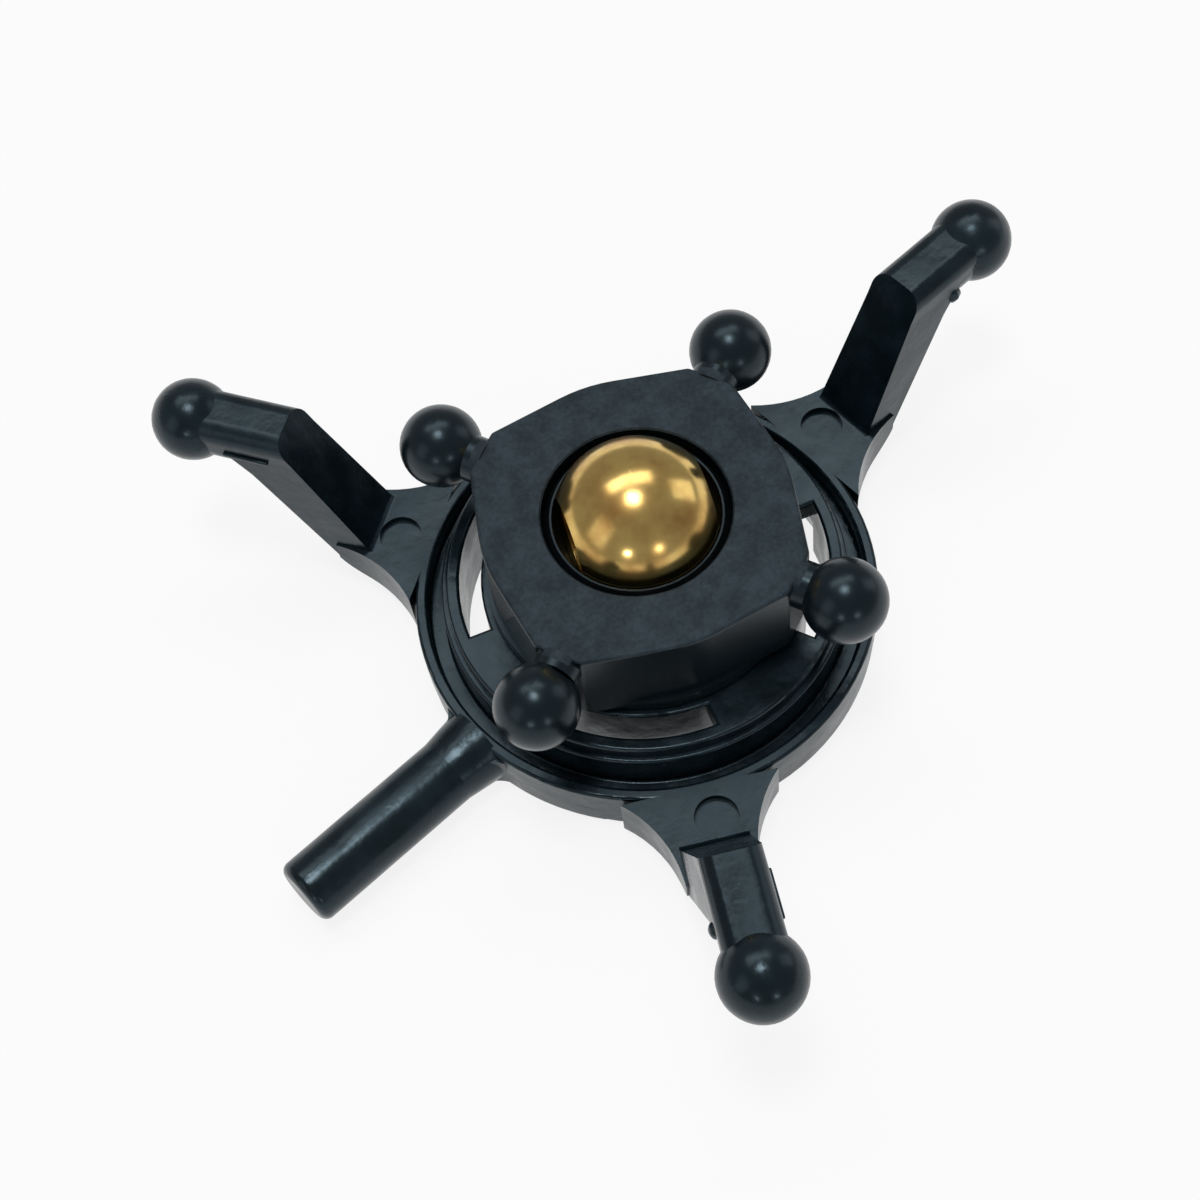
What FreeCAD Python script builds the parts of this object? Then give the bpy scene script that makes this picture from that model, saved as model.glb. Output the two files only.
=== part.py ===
import FreeCAD, Part
import math
import os

# Helicopter swashplate, millimetres.
# Origin at the centre of the brass pivot ball, +Z up the main shaft.
# The first servo arm points along +X, the anti-rotation pin along -X.
V = FreeCAD.Vector
UP = V(0, 0, 1)

# Link balls, shared by the ring and the star
link_ball_dia = 3.0

# Ball bearing, 7 x 11 x 2.5
bearing_bore_dia = 7.0
bearing_outer_dia = 11.0
bearing_width = 2.5
ball_share_of_section = 0.6
bearing_ball_count = 10
bearing_first_ball_deg = 27.1
race_wall_share_of_section = 0.3
groove_play = 0.02
race_edge_round = 0.12

# Crown cage of the bearing
cage_clearance_share_of_section = 0.06
cage_base_thickness = 0.4
cage_bottom_gap = 0.2
cage_prong_rise = 0.3
cage_pocket_play = 0.03
cage_gap_margin_deg = 3.0

# Outer (non-rotating) ring: sleeve, window, collar, channel and rim from the inside out
ring_top_z = -3.4
bearing_recess = 0.5
floor_thickness = 0.7
floor_lip_overlap = 0.45
sleeve_wall = 0.45
window_width = 0.8
bore_taper = 0.06
collar_width = 0.51
collar_step_width = 0.22
collar_step_drop = 0.5
channel_width = 0.62
rim_width = 0.45
rim_drop = 1.3
channel_depth = 0.8
band_inset = 0.05
band_height = 1.25
edge_round = 0.12
web_count = 4
web_span_deg = 42.0
web_height = 0.9
web_edge_round = 0.15
web_pocket_flare = 0.5

# Servo arms, measured outwards from the rim
servo_arm_count = 3
servo_ball_radius = 17.0
arm_stem_dia = 2.15
arm_stem_top_round = 0.65
arm_stem_under_round = 1.0
arm_base_half_width = 1.35
arm_fillet_r = 4.8
arm_foot_reach = 1.9
arm_ramp_length = 2.7
arm_heel_reach = 2.8
arm_heel_rise = 0.75
arm_root_rise = 0.3
arm_elbow_reach = 5.9
arm_underside_blend = 0.9
dimple_dia = 1.6
dimple_depth = 0.25
dimple_reach = 1.0
dimple_side = 0.3

# Anti-rotation pin
pin_dia = 2.5
pin_root_dia = 2.95
pin_root_reach = 1.35
pin_length = 8.15
pin_tip_round = 0.35
pin_flare_fillet = 1.2
pin_flare_half_width = 0.94
pin_flare_half_height = 0.8

# Rotating star
star_yaw_deg = 21.2
star_arm_count = 4
rotor_ball_radius = 7.83
star_stem_dia = 1.7
plate_top_z = 0.75
hub_corner_r = 6.2
hub_corner_half_deg = 8.0
hub_flank_r = 5.55
hub_corner_round = 0.3
plate_edge_round = 0.14
hub_ring_gap = 0.4
flange_step = 0.24
flange_gap = 0.08
flange_overlap = 0.3
race_shoulder = 0.5
spigot_wall = 0.8
snap_bead_rise = 0.18
snap_bead_height = 0.5
snap_slot_width = 0.7
snap_slot_depth = 2.2

# Brass pivot ball on a 3 mm shaft
pivot_ball_dia = 6.0
pivot_flat_length = 5.0
shaft_dia = 3.0
shaft_running_gap = 0.02
pivot_bore_deg = -24.0
bore_chamfer = 0.15

# Ball socket liner
seat_play = 0.03
liner_wall = 0.32
liner_top_z = 0.5
liner_depth = 2.0
liner_lip_width = 0.07
liner_moat_depth = 0.5

# Values that follow from the ones above
link_ball_r = link_ball_dia / 2
bearing_bore_r = bearing_bore_dia / 2
bearing_outer_r = bearing_outer_dia / 2
bearing_section = bearing_outer_r - bearing_bore_r
bearing_ball_r = bearing_section * ball_share_of_section / 2
groove_r = bearing_ball_r + groove_play
race_wall = bearing_section * race_wall_share_of_section
inner_shoulder_r = bearing_bore_r + race_wall
outer_land_r = bearing_outer_r - race_wall
pitch_r = (inner_shoulder_r + outer_land_r) / 2
bearing_top_z = ring_top_z - bearing_recess
bearing_bottom_z = bearing_top_z - bearing_width
bearing_mid_z = bearing_top_z - bearing_width / 2
ring_bottom_z = bearing_bottom_z - floor_thickness
floor_lip_r = bearing_outer_r - floor_lip_overlap
sleeve_outer_r = bearing_outer_r + sleeve_wall
collar_bore_r = sleeve_outer_r + window_width
collar_bottom_r = collar_bore_r + bore_taper
collar_top_r = collar_bore_r + collar_width
collar_step_r = collar_top_r + collar_step_width
collar_step_z = ring_top_z - collar_step_drop
rim_inner_r = collar_step_r + channel_width
rim_outer_r = rim_inner_r + rim_width
rim_top_z = ring_top_z - rim_drop
channel_floor_z = rim_top_z - channel_depth
band_r = rim_outer_r - band_inset
band_top_z = ring_bottom_z + band_height
web_bottom_z = ring_top_z - web_height
arm_stem_r = arm_stem_dia / 2
arm_foot_r = rim_outer_r + arm_foot_reach
arm_shoulder_r = arm_foot_r + arm_ramp_length
arm_heel_r = rim_outer_r + arm_heel_reach
arm_elbow_r = rim_outer_r + arm_elbow_reach
pin_z = ring_bottom_z + pin_dia / 2
pin_root_r = rim_outer_r + pin_root_reach
pin_tip_r = rim_outer_r + pin_length
hub_bottom_z = ring_top_z + hub_ring_gap
star_bore_r = bearing_bore_r - spigot_wall
spigot_bottom_z = bearing_bottom_z - snap_bead_height
seat_r = pivot_ball_dia / 2 + seat_play
liner_outer_r = seat_r + liner_wall
liner_bottom_z = -liner_depth


def polar(radius, degrees, z=0.0):
    angle = math.radians(degrees)
    return V(radius * math.cos(angle), radius * math.sin(angle), z)


def turned(shape, degrees):
    copy = shape.copy()
    copy.rotate(V(0, 0, 0), UP, degrees)
    return copy


def rounded_face(corners, place):
    # Closed outline of (u, v, corner radius); place() maps u, v to a point.
    count = len(corners)
    pieces = []
    for i in range(count):
        u, v, radius = corners[i]
        corner = V(u, v, 0)
        before = V(corners[i - 1][0], corners[i - 1][1], 0) - corner
        after = V(corners[(i + 1) % count][0], corners[(i + 1) % count][1], 0) - corner
        before.normalize()
        after.normalize()
        if radius <= 0:
            pieces.append((corner, None, corner))
            continue
        half = before.getAngle(after) / 2
        reach = radius / math.tan(half)
        middle_line = before + after
        middle_line.normalize()
        centre = corner + middle_line * (radius / math.sin(half))
        middle = centre - middle_line * radius
        pieces.append((corner + before * reach, middle, corner + after * reach))
    edges = []
    for i in range(count):
        start, middle, end = pieces[i]
        if middle is not None:
            arc = Part.Arc(place(start.x, start.y), place(middle.x, middle.y), place(end.x, end.y))
            edges.append(arc.toShape())
        following = pieces[(i + 1) % count][0]
        if (following - end).Length > 1e-6:
            edges.append(Part.makeLine(place(end.x, end.y), place(following.x, following.y)))
    return Part.Face(Part.Wire(edges))


def revolved(corners):
    face = rounded_face(corners, lambda u, v: V(u, 0, v))
    return face.revolve(V(0, 0, 0), UP, 360)


def prism(corners, z_low, z_high):
    face = rounded_face(corners, lambda u, v: V(u, v, z_low))
    return face.extrude(V(0, 0, z_high - z_low))


def cylinder(radius, z_low, z_high):
    return Part.makeCylinder(radius, z_high - z_low, V(0, 0, z_low), UP)


def tube(inner, outer, z_low, z_high):
    return cylinder(outer, z_low, z_high).cut(cylinder(inner, z_low - 1, z_high + 1))


def sector(radius, half_deg, z_low, z_high):
    # Solid wedge about +X that reaches out to the given radius.
    far = radius / math.cos(math.radians(half_deg))
    low = polar(far, -half_deg)
    high = polar(far, half_deg)
    corners = [(0, 0, 0), (low.x, low.y, 0), (high.x, high.y, 0)]
    wedge = prism(corners, z_low, z_high)
    return wedge.common(cylinder(radius, z_low, z_high))


def merged(base, others):
    return base.fuse(others).removeSplitter()


def flared_root(ring_r, half_width, fillet_r, z_low, z_high):
    # Short bar along +X whose flanks sweep out into the ring wall with concave fillets.
    centre_y = half_width + fillet_r
    centre_x = math.sqrt((ring_r + fillet_r) ** 2 - centre_y ** 2)
    foot_y = centre_y * ring_r / (ring_r + fillet_r)
    block = Part.makeBox(centre_x, 2 * foot_y, z_high - z_low, V(0, -foot_y, z_low))
    for side in (-1, 1):
        centre = V(centre_x, side * centre_y, z_low)
        block = block.cut(Part.makeCylinder(fillet_r, z_high - z_low, centre, UP))
    return block


# --- outer ring -----------------------------------------------------------
ring_body = revolved([
    (collar_bottom_r, ring_bottom_z, edge_round),
    (band_r, ring_bottom_z, 0.3),
    (band_r, band_top_z, 0),
    (rim_outer_r, band_top_z, 0),
    (rim_outer_r, rim_top_z, edge_round),
    (rim_inner_r, rim_top_z, edge_round),
    (rim_inner_r, channel_floor_z, 0.1),
    (collar_step_r, channel_floor_z, 0.1),
    (collar_step_r, collar_step_z, 0.1),
    (collar_top_r, collar_step_z, 0),
    (collar_top_r, ring_top_z, edge_round),
    (collar_bore_r, ring_top_z, edge_round),
])

sleeve = revolved([
    (floor_lip_r, ring_bottom_z, 0),
    (sleeve_outer_r, ring_bottom_z, edge_round),
    (sleeve_outer_r, ring_top_z, 0.1),
    (bearing_outer_r, ring_top_z, 0.1),
    (bearing_outer_r, bearing_bottom_z, 0),
    (floor_lip_r, bearing_bottom_z, 0.1),
])

web_middle_r = (collar_top_r + collar_bore_r) / 2
web = sector(web_middle_r, web_span_deg / 2, web_bottom_z, ring_top_z)
web_inner_r = (sleeve_outer_r + bearing_outer_r) / 2
web = web.cut(cylinder(web_inner_r, web_bottom_z - 1, ring_top_z + 1))
web_edges = [e for e in web.Edges
             if abs(e.BoundBox.ZLength) < 1e-6
             and e.BoundBox.ZMax > ring_top_z - 1e-6
             and e.Curve.TypeId == "Part::GeomLine"]
web = web.makeFillet(web_edge_round, web_edges)
webs = [turned(web, 360.0 / web_count * i) for i in range(web_count)]

# The mould core that forms each web's underside leaves a flared pocket in the bore.
pocket_top_r = collar_bore_r - edge_round
pocket = Part.makeCone(collar_bottom_r + web_pocket_flare, pocket_top_r, web_bottom_z - ring_bottom_z,
                       V(0, 0, ring_bottom_z), UP)
pocket = pocket.common(sector(rim_outer_r, web_span_deg / 2, ring_bottom_z, web_bottom_z))
pockets = [turned(pocket, 360.0 / web_count * i) for i in range(web_count)]
ring_body = ring_body.cut(pockets)

# One servo arm along +X: root web, steep limb, round stem and link ball.
root = flared_root(band_r, arm_base_half_width, arm_fillet_r, ring_bottom_z, rim_top_z)
root_start_r = (rim_inner_r + band_r) / 2
depth = 2 * arm_base_half_width + 2 * arm_fillet_r
arm_side = rounded_face([
    (root_start_r, ring_bottom_z + arm_root_rise, 0),
    (arm_heel_r, ring_bottom_z + arm_heel_rise, 1.5),
    (arm_elbow_r, -arm_stem_r, 0.8),
    (arm_elbow_r + arm_underside_blend, 0, 0),
    (arm_shoulder_r, 0, 0),
    (arm_shoulder_r, arm_stem_r, 0),
    (arm_foot_r, rim_top_z, 0.25),
    (root_start_r, rim_top_z, 0),
], lambda u, v: V(u, -depth / 2, v))
arm_side_solid = arm_side.extrude(V(0, depth, 0))
root = root.common(arm_side_solid)

limb_section = Part.Face(Part.makePolygon([
    V(0, -arm_base_half_width, ring_bottom_z),
    V(0, arm_base_half_width, ring_bottom_z),
    V(0, arm_stem_r, 0),
    V(0, -arm_stem_r, 0),
    V(0, -arm_base_half_width, ring_bottom_z),
]))
limb = limb_section.extrude(V(servo_ball_radius, 0, 0)).common(arm_side_solid)

stem_section = rounded_face([
    (-arm_stem_r, -arm_stem_r, arm_stem_under_round),
    (arm_stem_r, -arm_stem_r, arm_stem_under_round),
    (arm_stem_r, arm_stem_r, arm_stem_top_round),
    (-arm_stem_r, arm_stem_r, arm_stem_top_round),
], lambda u, v: V(arm_foot_r, u, v))
stem = stem_section.extrude(V(servo_ball_radius - arm_foot_r, 0, 0))
above_ramp = rounded_face([
    (arm_foot_r, rim_top_z, 0),
    (arm_shoulder_r, arm_stem_r, 0),
    (arm_shoulder_r, 2 * arm_stem_r, 0),
    (rim_inner_r, 2 * arm_stem_r, 0),
    (rim_inner_r, rim_top_z, 0),
], lambda u, v: V(u, -depth / 2, v)).extrude(V(0, depth, 0))
stem = stem.cut(above_ramp)
servo_ball = Part.makeSphere(link_ball_r, V(servo_ball_radius, 0, 0))
arm = root.fuse([limb, stem, servo_ball])
dimple_place = V(rim_outer_r + dimple_reach, dimple_side, rim_top_z - dimple_depth)
arm = arm.cut(Part.makeCylinder(dimple_dia / 2, 2 * dimple_depth, dimple_place, UP)).removeSplitter()
arms = [turned(arm, 360.0 / servo_arm_count * i) for i in range(servo_arm_count)]

# Anti-rotation pin along -X with its tapered root and side flare.
pin_root = Part.makeCone(pin_root_dia / 2, pin_dia / 2, pin_root_r - root_start_r,
                         V(root_start_r, 0, pin_z), V(1, 0, 0))
pin_root = pin_root.common(cylinder(pin_root_r + 1, ring_bottom_z, pin_z + pin_root_dia))
pin = Part.makeCylinder(pin_dia / 2, pin_tip_r - root_start_r, V(root_start_r, 0, pin_z), V(1, 0, 0))
tip_edges = [e for e in pin.Edges if e.BoundBox.XMin > pin_tip_r - 1e-3]
pin = pin.makeFillet(pin_tip_round, tip_edges)
flare = flared_root(band_r, pin_flare_half_width, pin_flare_fillet,
                    pin_z - pin_flare_half_height, pin_z + pin_flare_half_height)
flare = flare.cut(cylinder(root_start_r, ring_bottom_z - 1, 0))
pin = turned(pin.fuse([pin_root, flare]).removeSplitter(), 180)

outer_ring = merged(ring_body, [sleeve] + webs + arms + [pin])

# --- ball bearing ---------------------------------------------------------
groove = Part.makeTorus(pitch_r, groove_r, V(0, 0, bearing_mid_z), UP)
outer_race = revolved([
    (outer_land_r, bearing_bottom_z, race_edge_round),
    (bearing_outer_r, bearing_bottom_z, race_edge_round),
    (bearing_outer_r, bearing_top_z, race_edge_round),
    (outer_land_r, bearing_top_z, race_edge_round),
]).cut(groove)
inner_race = revolved([
    (bearing_bore_r, bearing_bottom_z, race_edge_round),
    (inner_shoulder_r, bearing_bottom_z, race_edge_round),
    (inner_shoulder_r, bearing_top_z, race_edge_round),
    (bearing_bore_r, bearing_top_z, race_edge_round),
]).cut(groove)

ball_angles = [bearing_first_ball_deg + 360.0 / bearing_ball_count * i for i in range(bearing_ball_count)]
bearing_balls = [Part.makeSphere(bearing_ball_r, polar(pitch_r, a, bearing_mid_z)) for a in ball_angles]

cage_bottom_z = bearing_bottom_z + cage_bottom_gap
cage_top_z = bearing_mid_z + cage_prong_rise
cage_clearance = bearing_section * cage_clearance_share_of_section
cage_inner_r = inner_shoulder_r + cage_clearance
cage_outer_r = outer_land_r - cage_clearance
cage = tube(cage_inner_r, cage_outer_r, cage_bottom_z, cage_top_z)
ball_pocket_r = bearing_ball_r + cage_pocket_play
pocket_half_deg = math.degrees(ball_pocket_r / pitch_r)
gap_half_deg = 180.0 / bearing_ball_count - pocket_half_deg - cage_gap_margin_deg
for angle in ball_angles:
    centre = polar(pitch_r, angle, bearing_mid_z)
    cage = cage.cut(Part.makeSphere(ball_pocket_r, centre))
    notch = sector(cage_outer_r + 1, gap_half_deg, cage_bottom_z + cage_base_thickness, cage_top_z + 1)
    cage = cage.cut(turned(notch, angle + 180.0 / bearing_ball_count))

# --- rotating star --------------------------------------------------------
step_deg = 360.0 / star_arm_count
flank_deg = step_deg / 2 - hub_corner_half_deg
tangent_deg = math.degrees(math.acos(hub_flank_r / hub_corner_r))
flank_apex_r = hub_flank_r / math.cos(math.radians(flank_deg - tangent_deg))
hub_plan = []
for i in range(star_arm_count):
    for offset in (-hub_corner_half_deg, hub_corner_half_deg):
        corner = polar(hub_corner_r, step_deg * i + offset)
        hub_plan.append((corner.x, corner.y, hub_corner_round))
    apex = polar(flank_apex_r, step_deg * (i + 0.5))
    hub_plan.append((apex.x, apex.y, hub_flank_r))
hub = prism(hub_plan, hub_bottom_z, plate_top_z)
top_edges = [e for e in hub.Edges if e.BoundBox.ZMin > plate_top_z - 1e-6]
hub = hub.makeFillet(plate_edge_round, top_edges)

shoulder_r = bearing_bore_r + race_shoulder
flange_r = sleeve_outer_r - flange_step
flange_bottom_z = ring_top_z + flange_gap
spindle = revolved([
    (star_bore_r, hub_bottom_z + flange_overlap, 0),
    (flange_r, hub_bottom_z + flange_overlap, 0),
    (flange_r, flange_bottom_z, 0.08),
    (shoulder_r, flange_bottom_z, 0.1),
    (shoulder_r, bearing_top_z, 0),
    (bearing_bore_r, bearing_top_z, 0),
    (bearing_bore_r, bearing_bottom_z, 0),
    (bearing_bore_r + snap_bead_rise, bearing_bottom_z, 0.05),
    (bearing_bore_r - snap_bead_rise, spigot_bottom_z, 0.1),
    (star_bore_r, spigot_bottom_z, 0.1),
])
for i in range(2):
    slot = Part.makeBox(3 * shoulder_r, snap_slot_width, snap_slot_depth,
                        V(-1.5 * shoulder_r, -snap_slot_width / 2, spigot_bottom_z))
    spindle = spindle.cut(turned(slot, step_deg * (i + 0.5)))

star_limbs = []
for i in range(star_arm_count):
    angle = step_deg * i
    inner = hub_corner_r - 0.2
    length = rotor_ball_radius - inner
    star_limbs.append(Part.makeCylinder(star_stem_dia / 2, length, polar(inner, angle), polar(1, angle)))
    star_limbs.append(Part.makeSphere(link_ball_r, polar(rotor_ball_radius, angle)))

rotating_star = merged(hub, [spindle] + star_limbs)
rotating_star = rotating_star.cut(cylinder(liner_outer_r, liner_bottom_z, plate_top_z + 1))
rotating_star = rotating_star.cut(cylinder(star_bore_r, ring_bottom_z - 1, 0))
hole_edge = [e for e in rotating_star.Edges
             if e.BoundBox.ZMin > plate_top_z - 1e-6
             and abs(e.BoundBox.XLength - 2 * liner_outer_r) < 1e-3]
rotating_star = rotating_star.makeChamfer(0.06, hole_edge)
rotating_star = turned(rotating_star, star_yaw_deg)

# --- socket liner ---------------------------------------------------------
lip_r = math.sqrt(seat_r ** 2 - liner_top_z ** 2)
socket_liner = revolved([
    (shaft_dia / 2, liner_bottom_z, 0),
    (liner_outer_r, liner_bottom_z, 0.1),
    (liner_outer_r, liner_top_z - liner_moat_depth, 0),
    (lip_r + liner_lip_width, liner_top_z, 0),
    (shaft_dia / 2, liner_top_z, 0),
])
socket_liner = socket_liner.cut(Part.makeSphere(seat_r, V(0, 0, 0)))

# --- pivot ball -----------------------------------------------------------
ball_r = pivot_ball_dia / 2
flat_half = pivot_flat_length / 2
bore_r = shaft_dia / 2 + shaft_running_gap
between_flats = Part.makeBox(pivot_flat_length, 4 * ball_r, 4 * ball_r, V(-flat_half, -2 * ball_r, -2 * ball_r))
pivot_ball = Part.makeSphere(ball_r).common(between_flats)
shaft_bore = Part.makeCylinder(bore_r, 4 * ball_r, V(-2 * ball_r, 0, 0), V(1, 0, 0))
bore_mouths = [Part.makeCone(bore_r, bore_r + 2 * bore_chamfer, 2 * bore_chamfer,
                             V(side * (flat_half - bore_chamfer), 0, 0), V(side, 0, 0))
               for side in (-1, 1)]
pivot_ball = turned(pivot_ball.cut([shaft_bore] + bore_mouths), pivot_bore_deg)

# --- write one STEP file for each piece -----------------------------------
pieces = {
    "outer_ring": outer_ring,
    "bearing_outer_race": outer_race,
    "bearing_inner_race": inner_race,
    "bearing_cage": cage,
    "rotating_star": rotating_star,
    "socket_liner": socket_liner,
    "pivot_ball": pivot_ball,
}
for number, ball in enumerate(bearing_balls, start=1):
    pieces["bearing_ball_%02d" % number] = ball

os.makedirs("parts", exist_ok=True)
for name, shape in pieces.items():
    solids = shape.Solids
    box = shape.BoundBox
    print(name, "solids", len(solids), "valid", shape.isValid(), "volume %.3f" % shape.Volume,
          "z %.2f to %.2f" % (box.ZMin, box.ZMax))
    single = solids[0] if len(solids) == 1 else shape
    single.exportStep("parts/%s.step" % name)
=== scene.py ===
import math

import bmesh
import bpy
from mathutils import Matrix, Vector, noise


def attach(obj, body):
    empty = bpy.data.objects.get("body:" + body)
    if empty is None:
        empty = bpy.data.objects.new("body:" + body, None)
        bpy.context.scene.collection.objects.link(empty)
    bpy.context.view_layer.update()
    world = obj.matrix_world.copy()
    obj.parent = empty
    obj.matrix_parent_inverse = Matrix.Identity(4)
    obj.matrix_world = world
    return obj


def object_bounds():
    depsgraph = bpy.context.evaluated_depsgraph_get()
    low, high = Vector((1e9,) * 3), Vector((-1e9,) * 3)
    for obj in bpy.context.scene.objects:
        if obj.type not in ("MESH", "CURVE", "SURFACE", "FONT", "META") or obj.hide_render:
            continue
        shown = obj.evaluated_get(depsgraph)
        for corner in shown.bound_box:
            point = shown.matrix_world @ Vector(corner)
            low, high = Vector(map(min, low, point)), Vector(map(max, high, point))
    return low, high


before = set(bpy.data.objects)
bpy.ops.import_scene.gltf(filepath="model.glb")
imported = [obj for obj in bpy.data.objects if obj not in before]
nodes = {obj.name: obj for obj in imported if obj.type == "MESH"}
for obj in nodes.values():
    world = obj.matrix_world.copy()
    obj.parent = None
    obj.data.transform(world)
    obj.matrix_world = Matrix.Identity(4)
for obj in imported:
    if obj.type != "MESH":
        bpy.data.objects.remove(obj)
cadLow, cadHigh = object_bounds()
mm = 0.001
print("loaded", len(nodes), "pieces")


def hexColour(code):
    channels = [int(code[i:i + 2], 16) / 255 for i in (1, 3, 5)]
    linear = [c / 12.92 if c <= 0.04045 else ((c + 0.055) / 1.055) ** 2.4 for c in channels]
    return (*linear, 1.0)


def newMaterial(name):
    material = bpy.data.materials.new(name)
    material.use_nodes = True
    material.node_tree.nodes.clear()
    return material, material.node_tree


def addNode(tree, kind, settings=None, inputs=None, stops=()):
    node = tree.nodes.new(kind)
    for key, value in (settings or {}).items():
        setattr(node, key, value)
    for key, value in (inputs or {}).items():
        socket = node.inputs[key]
        if isinstance(value, bpy.types.NodeSocket):
            tree.links.new(value, socket)
        else:
            socket.default_value = value
    for index, (position, colour) in enumerate(stops):
        stop = node.color_ramp.elements[index]
        stop.position, stop.color = position, colour
    return node


def spread(band, low, high):
    return list(zip(band, (low, high)))


def grey(value):
    return (value, value, value, 1.0)


# Glass-filled nylon, injection moulded: near black with a soft sheen, faint flow marks and cloudy patches.
ringNylon = {
    "colour": "#060f13",
    "paleColour": "#101c23",
    "sheen": "#b4cfdc",
    "roughness": (0.2, 0.33),
    "flowMarkSize": 1.4 * mm,
    "grainSize": 0.09 * mm,
    "grainDepth": 0.004 * mm,
    "sinkDepth": 0.05 * mm,
    "colourBand": (0.35, 0.7),
    "glossBand": (0.3, 0.7),
    "grainStrength": 0.5,
    "ior": 1.53,
}


def makeMouldedNylon(name, values):
    material, tree = newMaterial(name)
    place = addNode(tree, "ShaderNodeTexCoord").outputs["Object"]
    marks = addNode(tree, "ShaderNodeTexNoise", {"noise_dimensions": "3D"},
                    {"Vector": place, "Scale": 1 / values["flowMarkSize"], "Detail": 3.0, "Roughness": 0.5})
    grain = addNode(tree, "ShaderNodeTexNoise", {"noise_dimensions": "3D"},
                    {"Vector": place, "Scale": 1 / values["grainSize"], "Detail": 2.0, "Roughness": 0.6})
    colour = addNode(tree, "ShaderNodeValToRGB", inputs={0: marks.outputs["Fac"]}, stops=spread(
        values["colourBand"], hexColour(values["colour"]), hexColour(values["paleColour"])))
    low, high = values["roughness"]
    rough = addNode(tree, "ShaderNodeValToRGB", inputs={0: marks.outputs["Fac"]}, stops=spread(
        values["glossBand"], grey(low), grey(high)))
    sinks = addNode(tree, "ShaderNodeBump", inputs={  # shallow sink marks make the reflections waver
        "Strength": 1.0, "Distance": values["sinkDepth"], "Height": marks.outputs["Fac"]})
    bump = addNode(tree, "ShaderNodeBump", inputs={
        "Strength": values["grainStrength"], "Distance": values["grainDepth"],
        "Height": grain.outputs["Fac"], "Normal": sinks.outputs["Normal"]})
    shader = addNode(tree, "ShaderNodeBsdfPrincipled", inputs={
        "Base Color": colour.outputs["Color"], "Roughness": rough.outputs["Color"], "IOR": values["ior"],
        "Normal": bump.outputs["Normal"], "Specular Tint": hexColour(values["sheen"])})
    addNode(tree, "ShaderNodeOutputMaterial", inputs={"Surface": shader.outputs["BSDF"]})
    return material


# Nylon from a spark-eroded mould: the plate is matt slate grey with a pebbled grain,
# and the balls and the hub's walls are sleeker, with painted shade that makes them darker than the plate top.
starNylon = {
    "colour": "#12181c",
    "paleColour": "#2b333a",
    # painted shade: a darker colour for the balls and hub walls than for the lit plate top
    "shadedWallColour": "#0a1318",
    "plateRoughness": 0.62,
    "wallRoughness": 0.27,
    "sheen": "#b4cfdc",
    "plateRadius": 6.35 * mm,
    "plateHeight": 0.68 * mm,
    "grainSize": 0.16 * mm,
    "grainDepth": 0.014 * mm,
    "cloudSize": 0.9 * mm,
    "grainShare": 0.45,
    "colourBand": (0.4, 0.62),
    "wallGrain": 0.25,
    "plateGrain": 1.0,
    "ior": 1.53,
}


def makeSparkErodedNylon(name, values):
    material, tree = newMaterial(name)
    place = addNode(tree, "ShaderNodeTexCoord").outputs["Object"]
    grain = addNode(tree, "ShaderNodeTexNoise", {"noise_dimensions": "3D"},
                    {"Vector": place, "Scale": 1 / values["grainSize"], "Detail": 4.0, "Roughness": 0.65})
    clouds = addNode(tree, "ShaderNodeTexNoise", {"noise_dimensions": "3D"},
                     {"Vector": place, "Scale": 1 / values["cloudSize"], "Detail": 3.0, "Roughness": 0.55})
    blend = addNode(tree, "ShaderNodeMix", {"data_type": "FLOAT"},
                    {0: values["grainShare"], 2: clouds.outputs["Fac"], 3: grain.outputs["Fac"]})
    colour = addNode(tree, "ShaderNodeValToRGB", inputs={0: blend.outputs[0]}, stops=spread(
        values["colourBand"], hexColour(values["colour"]), hexColour(values["paleColour"])))
    parts = addNode(tree, "ShaderNodeSeparateXYZ", inputs={0: place})
    flat = addNode(tree, "ShaderNodeCombineXYZ", inputs={0: parts.outputs["X"], 1: parts.outputs["Y"]})
    reach = addNode(tree, "ShaderNodeVectorMath", {"operation": "LENGTH"}, {0: flat.outputs[0]})
    inside = addNode(tree, "ShaderNodeMath", {"operation": "LESS_THAN"},
                     {0: reach.outputs["Value"], 1: values["plateRadius"]})
    above = addNode(tree, "ShaderNodeMath", {"operation": "GREATER_THAN"},
                    {0: parts.outputs["Z"], 1: values["plateHeight"]})
    plate = addNode(tree, "ShaderNodeMath", {"operation": "MULTIPLY"},
                    {0: inside.outputs[0], 1: above.outputs[0]})
    rough = addNode(tree, "ShaderNodeMix", {"data_type": "FLOAT"}, {
        0: plate.outputs[0], 2: values["wallRoughness"], 3: values["plateRoughness"]})
    strength = addNode(tree, "ShaderNodeMix", {"data_type": "FLOAT"}, {
        0: plate.outputs[0], 2: values["wallGrain"], 3: values["plateGrain"]})
    # painted shade: away from the plate top the colour turns darker, while the roughness and grain change for
    # the real finish
    wallShadeTint = addNode(tree, "ShaderNodeMix", {"data_type": "RGBA"}, {
        0: plate.outputs[0], 6: hexColour(values["shadedWallColour"]), 7: colour.outputs["Color"]})
    bump = addNode(tree, "ShaderNodeBump", inputs={
        "Strength": strength.outputs[0], "Distance": values["grainDepth"], "Height": grain.outputs["Fac"]})
    shader = addNode(tree, "ShaderNodeBsdfPrincipled", inputs={
        "Base Color": wallShadeTint.outputs[2], "Roughness": rough.outputs[0], "IOR": values["ior"],
        "Specular Tint": hexColour(values["sheen"]), "Normal": bump.outputs["Normal"]})
    addNode(tree, "ShaderNodeOutputMaterial", inputs={"Surface": shader.outputs["BSDF"]})
    return material


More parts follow.
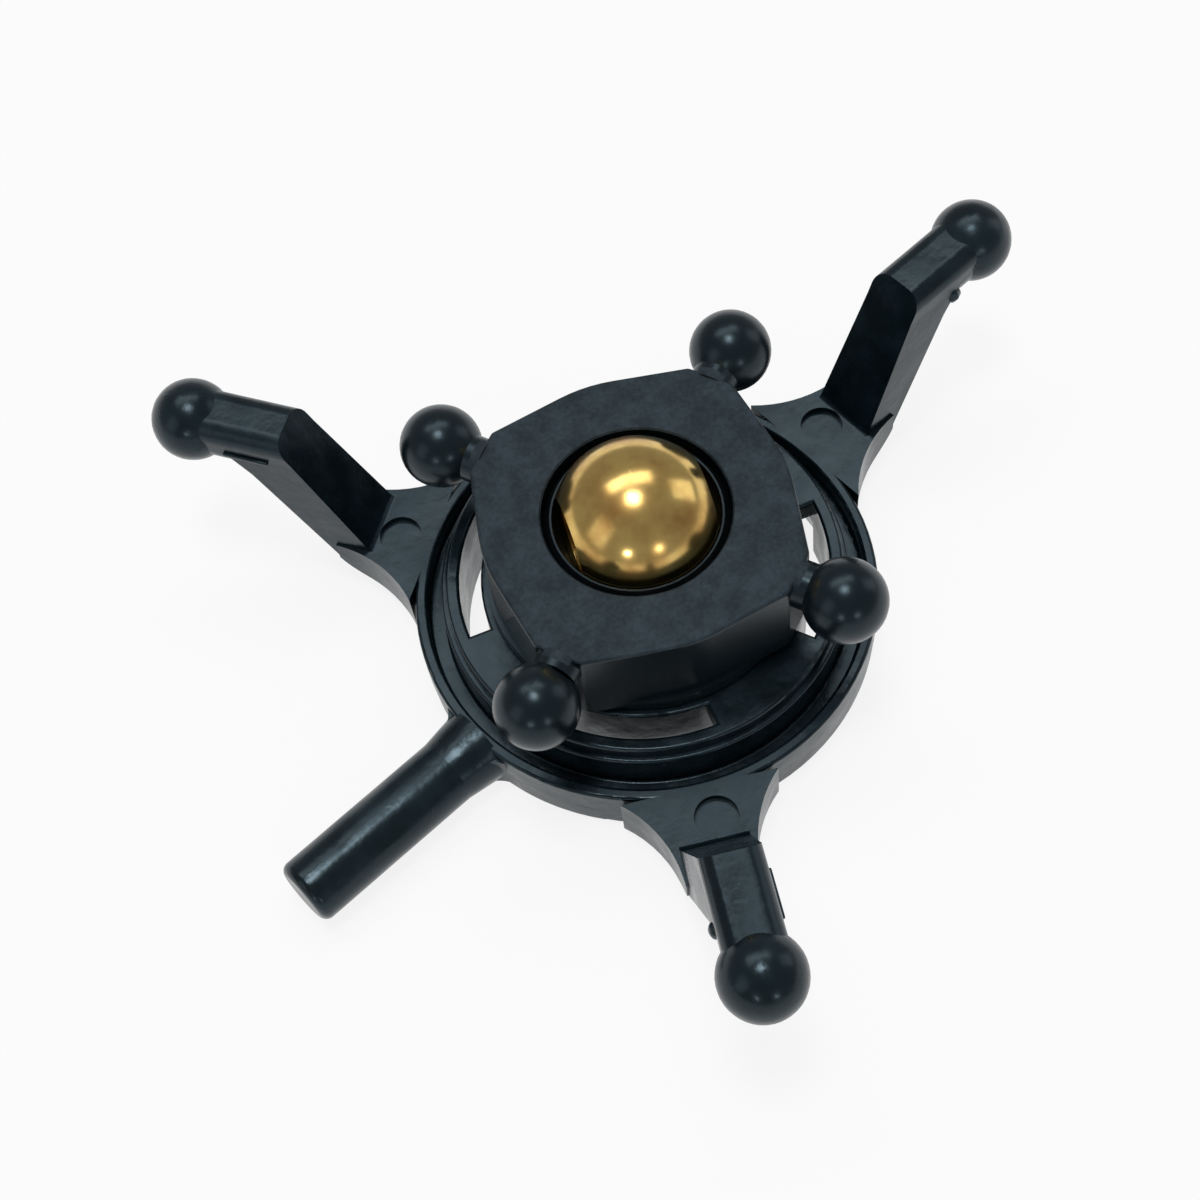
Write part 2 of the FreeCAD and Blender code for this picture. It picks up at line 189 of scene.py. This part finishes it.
# Brass, turned and polished: soft gold reflections with faint turning rings round the bore.
turnedBrass = {
    "colour": "#e0bf74",
    "tarnish": "#a9773f",
    "roughness": (0.16, 0.28),
    "stainSize": 1.6 * mm,
    "turningPitch": 0.05 * mm,
    "turningDepth": 0.0006 * mm,
    "boreAngle": -24.0,
    "colourBand": (0.4, 0.75),
    "glossBand": (0.35, 0.7),
    "turningStrength": 0.3,
}
waveNodePitch = 0.314  # length of one band of the wave node at scale 1


def makeTurnedBrass(name, values):
    material, tree = newMaterial(name)
    place = addNode(tree, "ShaderNodeTexCoord").outputs["Object"]
    alongBore = addNode(tree, "ShaderNodeMapping", inputs={
        "Vector": place, "Rotation": (0, 0, math.radians(-values["boreAngle"]))})
    stains = addNode(tree, "ShaderNodeTexNoise", {"noise_dimensions": "3D"},
                     {"Vector": place, "Scale": 1 / values["stainSize"], "Detail": 3.0, "Roughness": 0.55})
    turning = addNode(tree, "ShaderNodeTexWave",
                      {"wave_type": "BANDS", "bands_direction": "X", "wave_profile": "SIN"},
                      {"Vector": alongBore.outputs["Vector"], "Scale": waveNodePitch / values["turningPitch"],
                       "Distortion": 0.3, "Detail": 1.0})
    colour = addNode(tree, "ShaderNodeValToRGB", inputs={0: stains.outputs["Fac"]}, stops=spread(
        values["colourBand"], hexColour(values["colour"]), hexColour(values["tarnish"])))
    low, high = values["roughness"]
    rough = addNode(tree, "ShaderNodeValToRGB", inputs={0: stains.outputs["Fac"]}, stops=spread(
        values["glossBand"], grey(low), grey(high)))
    bump = addNode(tree, "ShaderNodeBump", inputs={
        "Strength": values["turningStrength"], "Distance": values["turningDepth"],
        "Height": turning.outputs["Fac"]})
    shader = addNode(tree, "ShaderNodeBsdfPrincipled", inputs={
        "Base Color": colour.outputs["Color"], "Metallic": 1.0, "Roughness": rough.outputs["Color"],
        "Normal": bump.outputs["Normal"]})
    addNode(tree, "ShaderNodeOutputMaterial", inputs={"Surface": shader.outputs["BSDF"]})
    return material


# Bearing steel, ground and polished: bright grey, a little uneven in its gloss.
bearingSteel = {
    "colour": "#b4b6b8",
    "roughness": (0.16, 0.3),
    "grindingPitch": 0.04 * mm,
    "glossBand": (0.3, 0.7),
}


def makeBearingSteel(name, values):
    material, tree = newMaterial(name)
    place = addNode(tree, "ShaderNodeTexCoord").outputs["Object"]
    grinding = addNode(tree, "ShaderNodeTexNoise", {"noise_dimensions": "3D"},
                       {"Vector": place, "Scale": 1 / values["grindingPitch"], "Detail": 1.0})
    low, high = values["roughness"]
    rough = addNode(tree, "ShaderNodeValToRGB", inputs={0: grinding.outputs["Fac"]}, stops=spread(
        values["glossBand"], grey(low), grey(high)))
    shader = addNode(tree, "ShaderNodeBsdfPrincipled", inputs={
        "Base Color": hexColour(values["colour"]), "Metallic": 1.0, "Roughness": rough.outputs["Color"]})
    addNode(tree, "ShaderNodeOutputMaterial", inputs={"Surface": shader.outputs["BSDF"]})
    return material


# Acetal, injection moulded: deep black with a low sheen, on the socket liner and the bearing cage.
linerAcetal = {
    "colour": "#07090a",
    "paleColour": "#0d1012",
    "sheen": "#b4cfdc",
    "roughness": (0.4, 0.5),
    "flowMarkSize": 0.8 * mm,
    "grainSize": 0.06 * mm,
    "grainDepth": 0.002 * mm,
    "sinkDepth": 0.01 * mm,
    "colourBand": (0.35, 0.7),
    "glossBand": (0.3, 0.7),
    "grainStrength": 0.5,
    "ior": 1.53,
}

print("making materials")
ringMaterial = makeMouldedNylon("moulded nylon", ringNylon)
starMaterial = makeSparkErodedNylon("spark-eroded nylon", starNylon)
brassMaterial = makeTurnedBrass("turned brass", turnedBrass)
steelMaterial = makeBearingSteel("ground bearing steel", bearingSteel)
linerMaterial = makeMouldedNylon("moulded acetal", linerAcetal)

pieceMaterials = {
    "outer_ring": ringMaterial,
    "rotating_star": starMaterial,
    "pivot_ball": brassMaterial,
    "socket_liner": linerMaterial,
    "bearing_cage": linerMaterial,
    "bearing_outer_race": steelMaterial,
    "bearing_inner_race": steelMaterial,
}


def dress(piece, material):
    piece.data.materials.clear()
    piece.data.materials.append(material)


for nodeName, piece in nodes.items():
    dress(piece, pieceMaterials.get(nodeName, steelMaterial))
print("dressed the pieces")


# Marks of moulding on each servo arm: a gate stub, broken off below the ball, and a seam along the stem.
armFlash = {
    "armAngles": (0.0, 120.0, 240.0),
    "stubPlace": (15.0, -1.0, -0.45),
    "stubSize": (0.62, 0.5, 0.62),
    "stubSwell": 0.22,
    "stubLumps": 3.1,
    "seamStart": 13.6,
    "seamLength": 1.75,
    "seamSide": 1.07,
    "seamSize": (0.24, 0.16),
    "seamRounding": 0.05,
}


def finishMesh(form, name, material):
    bmesh.ops.recalc_face_normals(form, faces=form.faces)
    mesh = bpy.data.meshes.new(name)
    form.to_mesh(mesh)
    form.free()
    for polygon in mesh.polygons:
        polygon.use_smooth = True
    mesh.materials.append(material)
    piece = bpy.data.objects.new(name, mesh)
    bpy.context.scene.collection.objects.link(piece)
    return piece


def addGateStub(form, values, shift):
    stub = bmesh.ops.create_icosphere(form, subdivisions=3, radius=0.5)["verts"]
    for vertex in stub:  # broken off unevenly, and on each arm in another way
        lump = noise.noise(vertex.co * values["stubLumps"] + Vector((shift, 0, 0)))
        vertex.co = vertex.co * (1 + values["stubSwell"] * lump)
    bmesh.ops.scale(form, vec=Vector(values["stubSize"]), verts=stub)
    bmesh.ops.translate(form, vec=Vector(values["stubPlace"]), verts=stub)
    return stub


def addSeam(form, values):
    width, height = values["seamSize"]
    seam = bmesh.ops.create_cube(form, size=1.0)["verts"]
    bmesh.ops.scale(form, vec=(values["seamLength"], width, height), verts=seam)
    edges = list({edge for vertex in seam for edge in vertex.link_edges})
    rounded = bmesh.ops.bevel(form, geom=seam + edges, offset=values["seamRounding"], segments=3,
                              profile=0.5, affect="EDGES", material=-1)
    corners = {vertex for face in rounded["faces"] for vertex in face.verts}
    seam = list(corners | {vertex for vertex in seam if vertex.is_valid})
    middle = values["seamStart"] + values["seamLength"] / 2
    bmesh.ops.translate(form, vec=(middle, values["seamSide"], 0.0), verts=seam)
    return seam


def makeArmFlash(values):
    form = bmesh.new()
    for number, angle in enumerate(values["armAngles"]):
        marks = addGateStub(form, values, number + 1) + addSeam(form, values)
        turn = Matrix.Rotation(math.radians(angle), 3, "Z")
        bmesh.ops.rotate(form, cent=(0, 0, 0), matrix=turn, verts=marks)
    bmesh.ops.scale(form, vec=(mm, mm, mm), verts=form.verts)
    return finishMesh(form, "armFlash", ringMaterial)


print("trimming marks")
armMarks = makeArmFlash(armFlash)
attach(armMarks, "swash_ring")


# A pale floor that the camera and the reflections see as nearly white, with soft boxes round it.
studio = {
    "floorSize": 3.0,
    "floorColour": "#f2f2f2",
    "floorGlow": 0.85,
    "floorDrop": 0.02 * mm,
    "worldStrength": 0.32,
}


def makeFloor(values):
    material, tree = newMaterial("pale studio floor")
    path = addNode(tree, "ShaderNodeLightPath")
    mirrored = addNode(tree, "ShaderNodeMath", {"operation": "MAXIMUM"},
                       {0: path.outputs["Is Glossy Ray"], 1: path.outputs["Is Transmission Ray"]})
    seen = addNode(tree, "ShaderNodeMath", {"operation": "MAXIMUM"},
                   {0: path.outputs["Is Camera Ray"], 1: mirrored.outputs[0]})
    share = addNode(tree, "ShaderNodeMath", {"operation": "MULTIPLY"},
                    {0: seen.outputs[0], 1: values["floorGlow"]})
    paint = addNode(tree, "ShaderNodeBsdfDiffuse", inputs={"Color": hexColour(values["floorColour"])})
    glow = addNode(tree, "ShaderNodeEmission", inputs={"Color": grey(1.0), "Strength": 1.0})
    mixed = addNode(tree, "ShaderNodeMixShader", inputs={
        0: share.outputs[0], 1: paint.outputs[0], 2: glow.outputs[0]})
    addNode(tree, "ShaderNodeOutputMaterial", inputs={"Surface": mixed.outputs[0]})
    form = bmesh.new()
    corners = bmesh.ops.create_grid(form, x_segments=1, y_segments=1, size=values["floorSize"] / 2)["verts"]
    bmesh.ops.translate(form, vec=(0, 0, cadLow.z - values["floorDrop"]), verts=corners)
    finishMesh(form, "floor", material)


def makeWorld(values):
    world = bpy.data.worlds.new("studio air")
    bpy.context.scene.world = world
    world.use_nodes = True
    tree = world.node_tree
    tree.nodes.clear()
    path = addNode(tree, "ShaderNodeLightPath")
    ambient = addNode(tree, "ShaderNodeBackground", inputs={
        "Color": grey(1.0), "Strength": values["worldStrength"]})
    backdrop = addNode(tree, "ShaderNodeBackground", inputs={"Color": grey(1.0), "Strength": 1.0})
    mixed = addNode(tree, "ShaderNodeMixShader", inputs={
        0: path.outputs["Is Camera Ray"], 1: ambient.outputs[0], 2: backdrop.outputs[0]})
    addNode(tree, "ShaderNodeOutputWorld", inputs={"Surface": mixed.outputs[0]})


# Every lamp points at the pivot ball.
lamps = {
    "broad back panel": {"place": (0.07, 0.14, 0.30), "size": (0.34, 0.10), "watts": 0.30},
    "overhead softbox": {"place": (-0.01, 0.01, 0.34), "size": (0.08, 0.08), "watts": 0.35},
    "left softbox": {"place": (-0.32, 0.05, 0.16), "size": (0.16, 0.22), "watts": 0.08},
    "right softbox": {"place": (0.30, -0.10, 0.14), "size": (0.14, 0.2), "watts": 0.08},
    "low left lamp": {"place": (-0.20, -0.14, 0.07), "size": (0.02, 0.02), "watts": 0.03},
    "low right lamp": {"place": (-0.06, -0.24, 0.07), "size": (0.02, 0.02), "watts": 0.03},
}


def aimed(place, direction):
    return Matrix.Translation(place) @ direction.to_track_quat("-Z", "Y").to_matrix().to_4x4()


def addLamp(name, values):
    data = bpy.data.lights.new(name, "AREA")
    data.shape = "RECTANGLE"
    data.size, data.size_y = values["size"]
    data.energy = values["watts"]
    lamp = bpy.data.objects.new(name, data)
    bpy.context.scene.collection.objects.link(lamp)
    lamp.matrix_world = aimed(values["place"], -Vector(values["place"]))


makeFloor(studio)
makeWorld(studio)
for lampName, lampValues in lamps.items():
    addLamp(lampName, lampValues)
print("lit the studio")


viewpoint = {
    "place": (-22.93 * mm, -29.94 * mm, 63.83 * mm),
    "aim": (-2.43 * mm, -0.467 * mm, -2.006 * mm),
    "rollDegrees": -9.02,
    "lens": 63.61,
}


def makeCamera(values):
    data = bpy.data.cameras.new("camera")
    data.lens = values["lens"]
    data.sensor_width = 36.0
    data.clip_start = 0.001
    camera = bpy.data.objects.new("camera", data)
    bpy.context.scene.collection.objects.link(camera)
    roll = Matrix.Rotation(math.radians(values["rollDegrees"]), 4, "Z")
    direction = Vector(values["aim"]) - Vector(values["place"])
    camera.matrix_world = aimed(values["place"], direction) @ roll
    bpy.context.scene.camera = camera


makeCamera(viewpoint)
print("placed the camera")
bpy.context.scene.view_settings.view_transform = "Standard"

print("finished")
